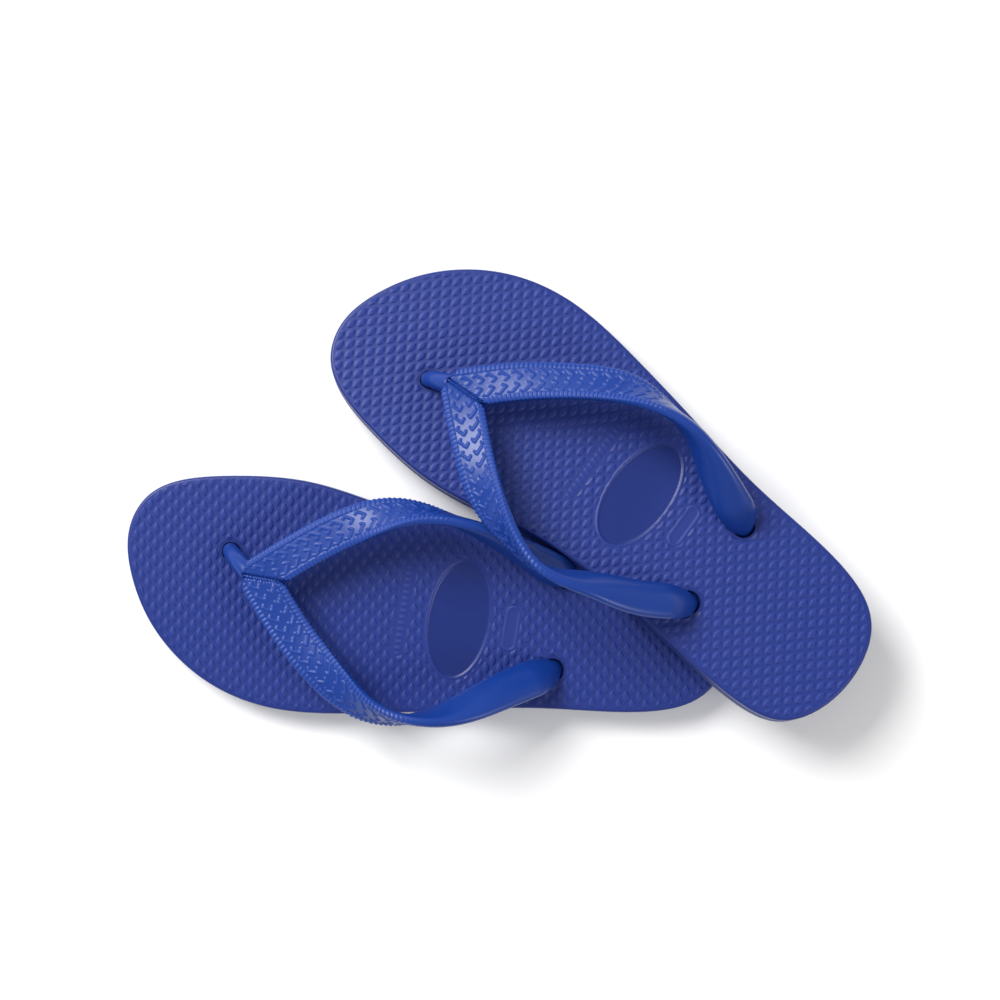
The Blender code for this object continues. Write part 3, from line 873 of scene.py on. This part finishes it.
@dataclass
class Thong:
    """One moulded thong: two branches, the post between the toes and its plug."""

    side: Side
    sole: SoleShape
    shape: StrapShape
    lie: StrapLie
    relief: RibbonRelief = RibbonRelief()
    stations: int = 420
    face_points: int = 60
    back_points: int = 18
    stub_stations: int = 32
    post_sides: int = 40

    def holes(self) -> dict[Branch, tuple[float, float]]:
        """(along, across) of the side holes."""
        at = self.shape.side_holes_from_toe
        outer, inner = self.sole.tucked(0)
        low = float(np.interp(at, outer[:, 0], outer[:, 1]))
        high = float(np.interp(at, inner[:, 0], inner[:, 1]))
        return {
            Branch.OUTER: (at, low + self.shape.outer_hole_inset),
            Branch.INNER: (at, high - self.shape.inner_hole_inset),
        }

    def course(self, branch: Branch, shares: np.ndarray) -> dict[str, np.ndarray]:
        """Centre line, cross-section axes and sizes of a branch.

        Args:
            branch: which branch.
            shares: shares of the way back to the side hole.

        Returns:
            Arrays named centre, wide, face, width, thickness and round.
        """
        shape, lie = self.shape, self.lie
        hole = self.holes()[branch]
        middle = sum(across for _, across in self.holes().values()) / 2
        hole_spread = abs(hole[1] - middle) / shape.half_spread
        table = lie.branch(branch)
        rows = [(-shape.stations[0][0], -table[0][0], shape.start_height * 0.97, 0.0)]
        rows.append((0.0, 0.0, shape.start_height, 0.0))
        for (share, tall), (spread, roll) in zip(shape.stations, table):
            rows.append((share, spread, tall * lie.arch, roll))
        rows.append((1.0, hole_spread, shape.foot_height, shape.foot_roll))
        rows = np.array(rows)
        spread, tall, roll = spline(rows[:, 0], rows[:, 1:], shares).T
        along = shape.start_from_toe + shares * (hole[0] - shape.start_from_toe)
        axis = lie.start_across + np.clip(shares, 0, 1) * (middle - lie.start_across)
        across = axis + branch.outward * spread * shape.half_spread
        centre = np.column_stack([along, across * self.side.hand, self.sole.height(along) + tall])
        run = np.gradient(centre, shares, axis=0)
        run /= np.linalg.norm(run, axis=1)[:, None]
        outward = branch.outward * self.side.hand
        out = np.cross((0, 0, 1), run)
        out /= np.linalg.norm(out, axis=1)[:, None]
        out *= np.where(out[:, 1] * outward < 0, -1, 1)[:, None]
        up = np.cross(run, out)
        up *= np.where(up[:, 2] < 0, -1, 1)[:, None]
        roll = np.radians(roll)[:, None]
        swell = smooth(shares, *shape.swells_between)
        width = shape.ribbon_width + (shape.tail_width - shape.ribbon_width) * swell
        narrow = np.clip((shares - shape.foot_narrows_from) / (1 - shape.foot_narrows_from), 0, 1) ** 2
        return {
            "centre": centre,
            "wide": out * np.cos(roll) - up * np.sin(roll),
            "face": out * np.sin(roll) + up * np.cos(roll),
            "width": width + (shape.foot_width - width) * narrow,
            "thickness": shape.ribbon_thickness + (shape.tail_thickness - shape.ribbon_thickness) * swell,
            "round": swell,
        }

    def branch_shell(self, branch: Branch) -> Shell:
        """One branch, from the mitre seam to the stub in its side hole."""
        shape = self.shape
        lead = shape.stations[0][0]
        fine = np.linspace(-lead, 1.0, 1500)
        course = self.course(branch, fine)
        length = np.r_[0, np.cumsum(np.linalg.norm(np.diff(course["centre"], axis=0), axis=1))]
        length -= np.interp(0, fine, length)
        t = np.linspace(-1, 1, self.face_points)
        face_x = 0.35 * t + 0.65 * np.sin(t * math.pi / 2)
        back_x = np.sin(np.linspace(-1, 1, self.back_points + 2)[1:-1] * math.pi / 2)[::-1]
        cross_x = np.r_[face_x, back_x]
        sign = np.r_[np.ones(self.face_points), -np.ones(self.back_points)]

        def read(values: np.ndarray, at: np.ndarray) -> np.ndarray:
            """Values at shares of any shape."""
            flat = np.atleast_2d(values.T)
            got = np.stack([np.interp(at.ravel(), fine, row) for row in flat], -1)
            return got.reshape(*at.shape, -1) if values.ndim > 1 else got.reshape(at.shape)

        def skin(at: np.ndarray) -> tuple[np.ndarray, ...]:
            """Surface points, side distances and outward directions at shares."""
            power = shape.boxiness + (1 - shape.boxiness) * read(course["round"], at)
            half_width = read(course["width"], at) / 2
            half_thick = read(course["thickness"], at) / 2
            x = np.broadcast_to(cross_x, at.shape)
            y = sign * np.clip(1 - np.abs(x) ** (2 / power), 0, 1) ** (power / 2)
            nx = np.sign(x) * np.abs(x) ** (2 / power - 1) / half_width
            ny = np.sign(y) * np.abs(y) ** (2 / power - 1) / half_thick
            size = np.maximum(np.hypot(nx, ny), 1e-9)
            wide, face = read(course["wide"], at), read(course["face"], at)
            centre = read(course["centre"], at)
            points = centre + wide * (x * half_width)[..., None] + face * (y * half_thick)[..., None]
            out = wide * (nx / size)[..., None] + face * (ny / size)[..., None]
            return points, x * half_width, out, y

        trial = np.linspace(-lead, 0.30, 500)
        points = skin(np.repeat(trial[:, None], len(cross_x), axis=1))[0]
        beyond = (points[..., 1] * self.side.hand - self.lie.start_across) * branch.outward
        starts = np.array([np.interp(0, beyond[:, k], trial) for k in range(len(cross_x))])
        steps = np.linspace(0, 1, self.stations)[:, None]
        at = starts[None] + (1 - starts[None]) * steps
        points, side, out, y = skin(at)
        run = read(length, at) / MM
        seam = (at - starts[None]) * (length[-1] - length[0]) / MM
        lift = self.relief.height(run, side / MM, at, seam) * smooth(y, -0.2, 0.6)
        points = points + out * (lift * MM)[..., None]
        beyond = points[..., 0] - shape.nose_from_toe
        points[..., 0] = shape.nose_from_toe + np.maximum(beyond, shape.nose_give * beyond)
        # Painted light and shade: raised strokes and ribs are painted lighter, the mitre notch in the darker
        # shaded colour
        return lofted(self.into_hole(points, branch), np.clip(lift / 0.45, 0, 1))

    def into_hole(self, points: np.ndarray, branch: Branch) -> np.ndarray:
        """Bends the last stations down into the side hole."""
        shape = self.shape
        along, across = self.holes()[branch]
        centre = np.array([along, across * self.side.hand])
        last = self.stub_stations
        tail = points[-last:]
        floor = float(self.sole.height(along))
        stub = tail[-1] - tail[-1].mean(axis=0)
        turns = np.arctan2(stub[:, 1], stub[:, 0])
        radius = shape.side_stem_diameter / 2
        ring = np.column_stack([centre[0] + radius * np.cos(turns), centre[1] + radius * np.sin(turns)])
        goal = np.column_stack([ring, np.full(len(ring), floor - shape.stub_depth)])
        share = (np.arange(last)[:, None, None] / (last - 1)) ** shape.stub_ease
        points[-last:] = tail * (1 - share) + goal[None] * share
        return points

    def post_shell(self) -> Shell:
        """The post, from its plug under the sole to the underside of the V."""
        shape, hand = self.shape, self.side.hand
        floor = float(self.sole.height(shape.post_from_toe))
        foot = np.array([shape.post_from_toe, shape.post_across * hand])
        head = np.array([shape.start_from_toe - 3.2 * MM, self.lie.start_across * hand])
        lean = head - foot
        climb = ((0.0, 0.0), (0.10, 3.0), (0.34, 6.6), (0.66, 9.7), (0.95, 11.8), (1.15, 12.3))
        path = [(*foot, shape.plug_recess + shape.plug_thickness), (*foot, floor * 0.6)]
        path += [(*(foot + lean * share), floor + tall * MM) for share, tall in climb]
        path = np.array(path)
        knots = np.r_[0, np.cumsum(np.linalg.norm(np.diff(path, axis=0), axis=1))]
        fine = np.linspace(0, knots[-1], 60)
        line = spline(knots, path, fine)
        run = np.gradient(line, axis=0)
        run /= np.linalg.norm(run, axis=1)[:, None]
        first = np.cross(run, (0, 1, 0))
        first /= np.linalg.norm(first, axis=1)[:, None]
        second = np.cross(run, first)
        radius = shape.post_diameter / 2 * (1 + 0.16 * smooth(fine / knots[-1], 0.35, 0.8))
        radius *= 1 - 0.45 * smooth(fine / knots[-1], 0.86, 1.0)
        turns = (np.arange(self.post_sides) * 2 * math.pi / self.post_sides)[:, None]
        circle = first[:, None] * np.cos(turns) + second[:, None] * np.sin(turns)
        return lofted(line[:, None] + radius[:, None, None] * circle)

    def plug_shell(self, centre: tuple[float, float], diameter: float, stem: float, top: float) -> Shell:
        """A round plug with softened edges, a shallow dish below and a stem above."""
        low, high = self.shape.plug_recess, self.shape.plug_recess + self.shape.plug_thickness
        r = diameter / 2
        profile = [
            (r * 0.18, low + 0.5 * MM),
            (r * 0.45, low + 0.45 * MM),
            (r * 0.62, low + 0.05 * MM),
            (r - 0.5 * MM, low),
            (r - 0.12 * MM, low + 0.14 * MM),
            (r, low + 0.5 * MM),
            (r, high - 0.4 * MM),
            (r - 0.4 * MM, high),
            (stem / 2 + 0.5 * MM, high),
            (stem / 2, high + 0.4 * MM),
            (stem / 2, top),
        ]
        return lathed(profile, 64, centre)

    def shells(self) -> list[Shell]:
        """All the shells of the thong's visible part and toe plug."""
        shape = self.shape
        foot = (shape.post_from_toe, shape.post_across * self.side.hand)
        plug = self.plug_shell(foot, shape.toe_plug_diameter, shape.post_diameter, 6.0 * MM)
        return [self.branch_shell(Branch.OUTER), self.branch_shell(Branch.INNER), self.post_shell(), plug]

    def side_plug(self, branch: Branch) -> Shell:
        """The plug that ends a branch under the sole."""
        along, across = self.holes()[branch]
        top = float(self.sole.height(along)) - 3.6 * MM
        centre = (along, across * self.side.hand)
        return self.plug_shell(centre, self.shape.side_plug_diameter, self.shape.side_stem_diameter, top)


@dataclass
class Shoe:
    """One flip flop: footbed, outsole, thong and side plugs."""

    side: Side
    sole: SoleShape
    strap: StrapShape
    finishes: dict[str, bpy.types.Material]
    footbed_well: float = 3.4 * MM
    outsole_well: float = 3.6 * MM
    seam_tuck: float = 0.22 * MM

    def placement(self, frame: dict) -> Matrix:
        """The shoe's place, read from its hinge and from the flat underside of its outsole."""
        joint = next(j for j in frame["joints"] if j["name"] == self.side.value + "_toe_flex")
        across = Vector(joint["axis"]).normalized()
        mesh = frame["nodes"][self.side.value + "_outsole_rear"].data
        flat = max((p for p in mesh.polygons if p.normal.z < -0.9), key=lambda p: p.area)
        up = -flat.normal
        along = across.cross(up).normalized()
        hinge = Vector((self.sole.flex_from_toe, 0, self.sole.height(self.sole.flex_from_toe)))
        turn = Matrix((along, across, up)).transposed()
        origin = Vector(joint["pos_m"]) - turn @ hinge
        return Matrix.Translation(origin) @ turn.to_4x4()

    def wells(self, thong: Thong, toe: float, side: float, depth: float) -> list[tuple[float, ...]]:
        """(along, across, radius, depth) of the wells for the toe hole and the two side holes."""
        spots = [(self.strap.post_from_toe, self.strap.post_across, toe, depth)]
        return spots + [(along, across, side, depth) for along, across in thong.holes().values()]

    def rim(self, degrees: tuple[float, ...]) -> list[tuple[float, float]]:
        """Loops that round the sole's rim, at angles from its face."""
        r = self.sole.rim_round
        return [(r * math.sin(a), r * (1 - math.cos(a))) for a in np.radians(degrees)]

    def footbed(self, thong: Thong) -> Shell:
        """The top sheet, with its relief and the mouths of its holes."""
        toe = self.strap.post_diameter / 2 + 0.35 * MM
        side = self.strap.side_stem_diameter / 2 + 0.6 * MM
        r, thick = self.sole.rim_round, self.sole.footbed_thickness
        loops = self.rim((18, 36, 54, 72, 90))
        loops += [(r, thick * 0.6), (r, thick - 0.25 * MM), (r - self.seam_tuck, thick)]
        face = SoleFace(self.sole, 1, 0.46 * MM, 200, self.wells(thong, toe, side, self.footbed_well))
        return face.build(FootbedRelief(), self.side.hand, loops)

    def outsole(self, thong: Thong) -> Shell:
        """The lower sheet, with its tread and the recesses of its plugs."""
        toe = self.strap.toe_plug_diameter / 2 + 0.3 * MM
        side = self.strap.side_plug_diameter / 2 + 0.3 * MM
        r, thick = self.sole.rim_round, self.sole.footbed_thickness
        loops = self.rim((22, 45, 68, 90))
        loops += [(r, 3.5 * MM), (r, -thick - 0.55 * MM), (r - self.seam_tuck, -thick - 0.3 * MM)]
        face = SoleFace(self.sole, -1, 0.85 * MM, 108, self.wells(thong, toe, side, self.outsole_well))
        return face.build(TreadRelief(), self.side.hand, loops)

    def build(self, frame: dict) -> None:
        """Makes the shoe's pieces where the frame places them, hides the frame parts that they stand for and
        ties the side plugs to the rear body.
        """
        name = self.side.value
        place = self.placement(frame)
        thong = Thong(self.side, self.sole, self.strap, LIES[self.side])
        start = place @ Vector((self.sole.flex_from_toe, 0, self.sole.height(self.sole.flex_from_toe)))
        bent = self.sole.flex_from_toe - self.sole.bend_length
        end = place @ Vector((bent, 0, self.sole.height(self.sole.flex_from_toe)))
        rear, front = name + "_rear", name + "_front"
        bending = [
            ("footbed", [self.footbed(thong)], ("_footbed_front", "_footbed_rear"), "footbed"),
            ("outsole", [self.outsole(thong)], ("_outsole_front", "_outsole_rear"), "outsole"),
            ("thong", thong.shells(), ("_toe_post", "_outer_strap", "_inner_strap"), "thong"),
        ]
        for piece_name, shells, nodes, slot in bending:
            piece = make_piece(f"{name}_{piece_name}", shells, place, self.finishes[slot])
            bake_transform(piece)
            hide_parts(*[name + node for node in nodes])
        for branch in Branch:
            shell = thong.side_plug(branch)
            piece = make_piece(f"{name}_{branch.value}_button", [shell], place, self.finishes["thong"])
            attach(piece, rear)
            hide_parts(f"{name}_{branch.value}_plug")


@dataclass
class Studio:
    """Pale floor, soft light and the camera above the shoes."""

    camera_from_toe: float = 0.1510
    camera_across: float = 0.0536
    camera_height: float = 0.9
    camera_turn: float = 9.51
    lens: float = 76.5
    sky: float = 0.46
    floor_reach: float = 6.0

    def camera(self) -> None:
        """Places the camera by the left sole's toe tip and middle line."""
        low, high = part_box("left_footbed_front")
        toe = low.x
        middle = (low.y + high.y) / 2
        data = bpy.data.cameras.new("camera")
        data.lens = self.lens
        data.sensor_width = 36
        data.clip_end = 20
        item = bpy.data.objects.new("camera", data)
        item.location = (toe + self.camera_from_toe, middle + self.camera_across, self.camera_height)
        item.rotation_euler = (0, 0, math.radians(self.camera_turn))
        bpy.context.scene.collection.objects.link(item)
        bpy.context.scene.camera = item

    def floor(self) -> None:
        """A wide pale floor."""
        mesh = bpy.data.meshes.new("floor")
        far = self.floor_reach
        mesh.from_pydata([(-far, -far, 0), (far, -far, 0), (far, far, 0), (-far, far, 0)], [], [(0, 1, 2, 3)])
        board = Board("floor_paint")
        paint = board.mix(board.noise(6, 2), (0.93, 0.93, 0.93), (0.95, 0.95, 0.95))
        board.feed(board.shader.inputs["Base Color"], paint)
        board.shader.inputs["Roughness"].default_value = 0.9
        board.shader.inputs["Specular IOR Level"].default_value = 0.1
        mesh.materials.append(board.material)
        item = bpy.data.objects.new("floor", mesh)
        bpy.context.scene.collection.objects.link(item)

    def light(self, name: str, place: tuple[float, float, float], size: float, power: float) -> None:
        """One square soft light that faces the shoes."""
        data = bpy.data.lights.new(name, "AREA")
        data.shape = "SQUARE"
        data.size = size
        data.energy = power
        item = bpy.data.objects.new(name, data)
        item.location = place
        aim = Vector((0, 0, 0)) - Vector(place)
        item.rotation_euler = aim.to_track_quat("-Z", "Y").to_euler()
        bpy.context.scene.collection.objects.link(item)

    def build(self) -> None:
        """Makes the whole studio."""
        self.camera()
        self.floor()
        scene = bpy.context.scene
        world = bpy.data.worlds.new("studio_sky")
        world.use_nodes = True
        background = world.node_tree.nodes["Background"]
        background.inputs["Color"].default_value = (1.0, 1.0, 1.0, 1)
        background.inputs["Strength"].default_value = self.sky
        scene.world = world
        scene.view_settings.view_transform = "Standard"
        self.light("key_box", place=(-1.15, 0.80, 1.45), size=1.0, power=47)
        self.light("fill_box", place=(1.3, -0.5, 1.2), size=0.6, power=8)


FINISHES = (
    RubberFinish(
        name="footbed",
        shaded_hollow=(0.0070, 0.0205, 0.148),
        lit_crest=(0.0125, 0.0320, 0.230),
        cloud=(0.0100, 0.028, 0.198),
        roughness=0.43,
        specular=0.34,
        skin=0.20,
        grain=FootbedRelief(),
    ),
    RubberFinish(
        name="outsole",
        shaded_hollow=(0.009, 0.024, 0.165),
        lit_crest=(0.012, 0.030, 0.200),
        cloud=(0.010, 0.027, 0.180),
        roughness=0.56,
        specular=0.30,
        skin=0.35,
    ),
    RubberFinish(
        name="thong",
        shaded_hollow=(0.005, 0.036, 0.240),
        lit_crest=(0.008, 0.048, 0.300),
        cloud=(0.006, 0.041, 0.270),
        roughness=0.46,
        specular=0.38,
        skin=0.12,
    ),
)


def main() -> None:
    """Loads the frame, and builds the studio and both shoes."""
    logging.basicConfig(level=logging.INFO, format="%(name)s: %(message)s")
    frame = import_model()
    Studio().build()
    finishes = {finish.name: finish.make() for finish in FINISHES}
    for side in Side:
        Shoe(side, SoleShape(), StrapShape(), finishes).build(frame)


if __name__ == "__main__":
    main()
